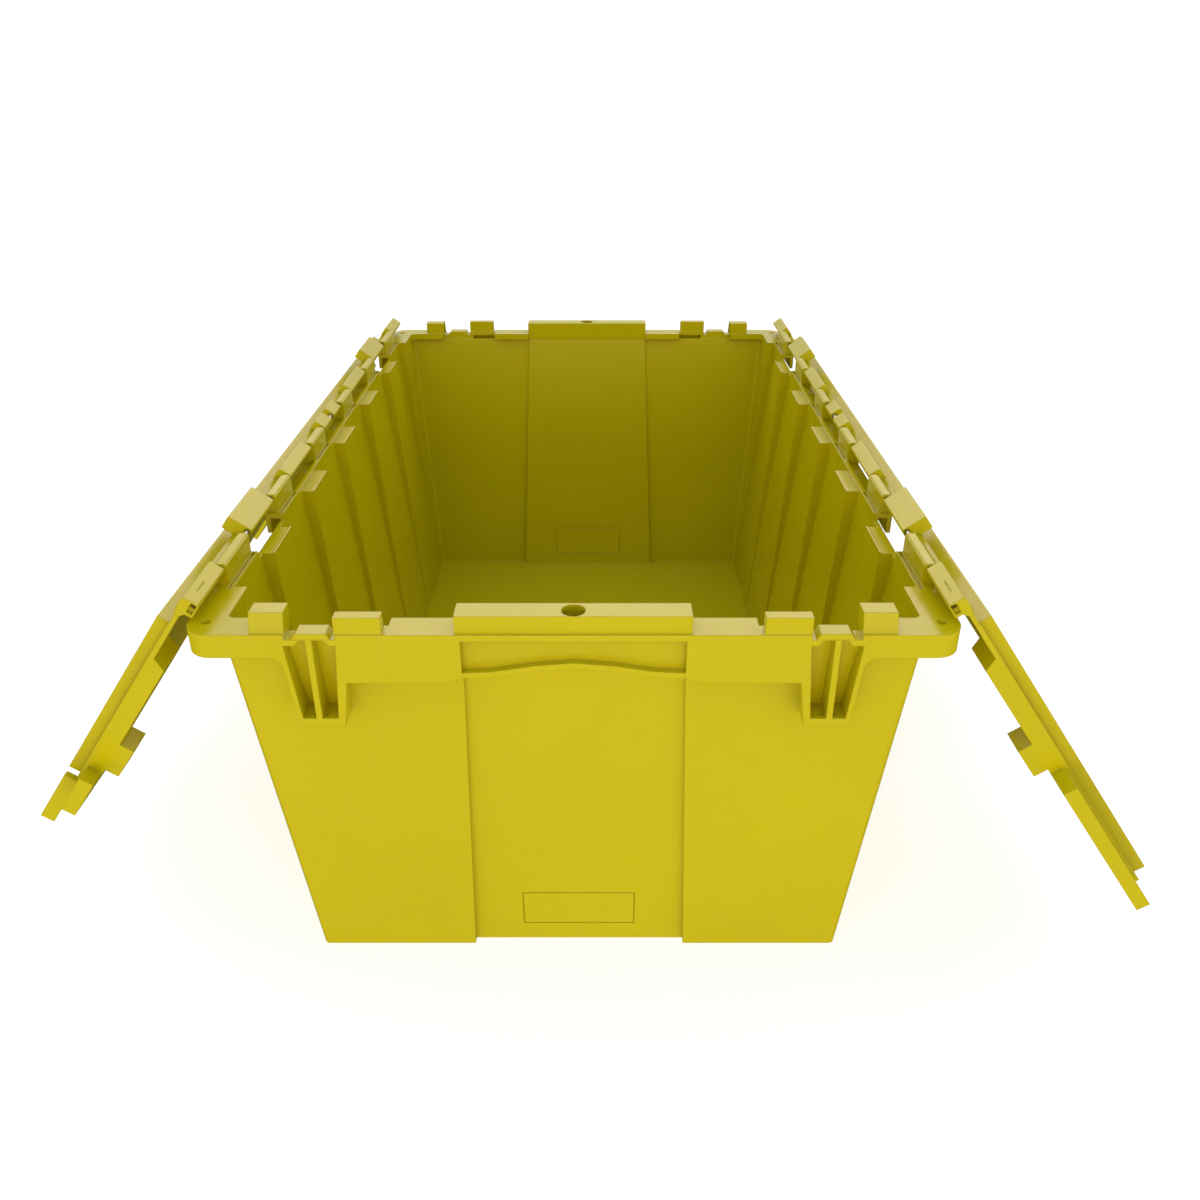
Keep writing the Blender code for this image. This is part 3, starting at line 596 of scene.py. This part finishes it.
def steel(name):
    mat = bpy.data.materials.new(name)
    mat.use_nodes = True
    nt = mat.node_tree
    n, link = nt.nodes, nt.links
    p = n["Principled BSDF"]
    p.inputs["Metallic"].default_value = 1.0
    co = add(n, "ShaderNodeTexCoord")
    stretch = add(n, "ShaderNodeMapping")
    stretch.inputs["Scale"].default_value = (900.0, 12.0, 900.0)
    link.new(co.outputs["Object"], stretch.inputs["Vector"])
    draw = add(n, "ShaderNodeTexNoise")
    draw.inputs["Scale"].default_value = 1.0
    draw.inputs["Detail"].default_value = 3.0
    link.new(stretch.outputs["Vector"], draw.inputs["Vector"])
    ramp = add(n, "ShaderNodeValToRGB")
    ramp.color_ramp.elements[0].color = (0.42, 0.43, 0.44, 1.0)
    ramp.color_ramp.elements[1].color = (0.66, 0.67, 0.68, 1.0)
    link.new(draw.outputs["Fac"], ramp.inputs["Fac"])
    link.new(ramp.outputs["Color"], p.inputs["Base Color"])
    rough = add(n, "ShaderNodeMapRange")
    rough.inputs["To Min"].default_value, rough.inputs["To Max"].default_value = 0.22, 0.42
    link.new(draw.outputs["Fac"], rough.inputs["Value"])
    link.new(rough.outputs["Result"], p.inputs["Roughness"])
    bump = add(n, "ShaderNodeBump")
    bump.inputs["Strength"].default_value = 0.2
    bump.inputs["Distance"].default_value = 0.0001
    link.new(draw.outputs["Fac"], bump.inputs["Height"])
    link.new(bump.outputs["Normal"], p.inputs["Normal"])
    mat.diffuse_color = (0.55, 0.56, 0.57, 1.0)
    return mat


YELLOW = (0.565, 0.485, 0.0010)
for piece, rider, node, finish, rgb, shift in (
        (body, "tote", "tote_body", "body_plastic", YELLOW, 0.0),
        (lid_left, "left_lid", "lid_left", "lid_plastic", YELLOW, 0.7),
        (lid_right, "right_lid", "lid_right", "lid_plastic", YELLOW, 1.3)):
    piece.data.materials.clear()
    piece.data.materials.append(plastic(piece.name + "_surface", rgb, shift))
    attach(piece, rider)
    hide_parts(node)

rod_finish = steel("drawn_steel_rod")
for node in ("hinge_rod_left", "hinge_rod_right"):
    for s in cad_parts[node].material_slots:
        s.material = rod_finish

# ---- floor, light and camera -------------------------------------------------
bm = bmesh.new()
bmesh.ops.create_grid(bm, x_segments=4, y_segments=4, size=14.0)
mesh = bpy.data.meshes.new("studio_floor")
bm.to_mesh(mesh)
bm.free()
floor = bpy.data.objects.new("studio_floor", mesh)
floor.location = (0.0, 0.0, -0.0006)
bpy.context.scene.collection.objects.link(floor)
mat = bpy.data.materials.new("studio_floor_paper")
mat.use_nodes = True
p = mat.node_tree.nodes["Principled BSDF"]
p.inputs["Base Color"].default_value = (0.50, 0.50, 0.52, 1.0)
p.inputs["Roughness"].default_value = 0.9
p.inputs["Specular IOR Level"].default_value = 0.1
p.inputs["Emission Color"].default_value = (1.0, 1.0, 1.0, 1.0)
p.inputs["Emission Strength"].default_value = 0.74
floor.data.materials.append(mat)
floor.visible_glossy = False
floor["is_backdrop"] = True

world = bpy.data.worlds.new("studio")
bpy.context.scene.world = world
world.use_nodes = True
nt = world.node_tree
for node in list(nt.nodes):
    nt.nodes.remove(node)
out = nt.nodes.new("ShaderNodeOutputWorld")
co = nt.nodes.new("ShaderNodeTexCoord")
sep = nt.nodes.new("ShaderNodeSeparateXYZ")
ramp = nt.nodes.new("ShaderNodeValToRGB")
ramp.color_ramp.elements[0].position, ramp.color_ramp.elements[1].position = 0.47, 0.53
ramp.color_ramp.elements[0].color = (0.01, 0.01, 0.01, 1.0)
ramp.color_ramp.elements[1].color = (0.96, 1.0, 0.95, 1.0)
half = nt.nodes.new("ShaderNodeMapRange")
half.inputs["From Min"].default_value, half.inputs["From Max"].default_value = -1.0, 1.0
sky = nt.nodes.new("ShaderNodeBackground")
sky.inputs["Strength"].default_value = 0.76
white = nt.nodes.new("ShaderNodeBackground")
white.inputs["Color"].default_value = (1.0, 1.0, 1.0, 1.0)
white.inputs["Strength"].default_value = 1.0
path = nt.nodes.new("ShaderNodeLightPath")
mix = nt.nodes.new("ShaderNodeMixShader")
nt.links.new(co.outputs["Generated"], sep.inputs["Vector"])
nt.links.new(sep.outputs["Z"], half.inputs["Value"])
nt.links.new(half.outputs["Result"], ramp.inputs["Fac"])
nt.links.new(ramp.outputs["Color"], sky.inputs["Color"])
nt.links.new(path.outputs["Is Camera Ray"], mix.inputs["Fac"])
nt.links.new(sky.outputs["Background"], mix.inputs[1])
nt.links.new(white.outputs["Background"], mix.inputs[2])
nt.links.new(mix.outputs["Shader"], out.inputs["Surface"])


def softbox(name, place, target, size, power, rgb):
    data = bpy.data.lights.new(name, "AREA")
    data.shape = "RECTANGLE"
    data.size, data.size_y = size
    data.energy = power
    data.color = rgb
    obj = bpy.data.objects.new(name, data)
    obj.location = place
    obj.rotation_euler = (Vector(target) - Vector(place)).to_track_quat("-Z", "Y").to_euler()
    bpy.context.scene.collection.objects.link(obj)
    return obj


key = softbox("front_key", (0.0, -2.6, 0.42), (0.0, 0.0, 0.12), (2.6, 0.7), 16.0, (1.0, 0.68, 0.40))
key.visible_glossy = False
softbox("back_rim", (0.0, 3.0, 2.3), (0.0, 0.0, 0.1), (3.2, 1.6), 34.0, (1.0, 0.74, 0.64))

cam = bpy.data.cameras.new("camera")
cam.lens = 36.0 * 1035.0 / 1200.0
cam.sensor_width = 36.0
cam.clip_start = 0.01
cam.dof.use_dof = False
camera = bpy.data.objects.new("camera", cam)
camera.location = (0.0146, -0.832, 0.559)
camera.rotation_euler = (math.radians(90.0 - 28.27), 0.0, 0.0)
bpy.context.scene.collection.objects.link(camera)
bpy.context.scene.camera = camera
bpy.context.scene.view_settings.view_transform = "Standard"
bpy.context.scene.view_settings.look = "None"

new_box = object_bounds()


def plain(v):
    if isinstance(v, (int, float)):
        return float(v)
    return [plain(w) for w in v]


{"cad": plain(cad_box), "visual": plain(new_box)}
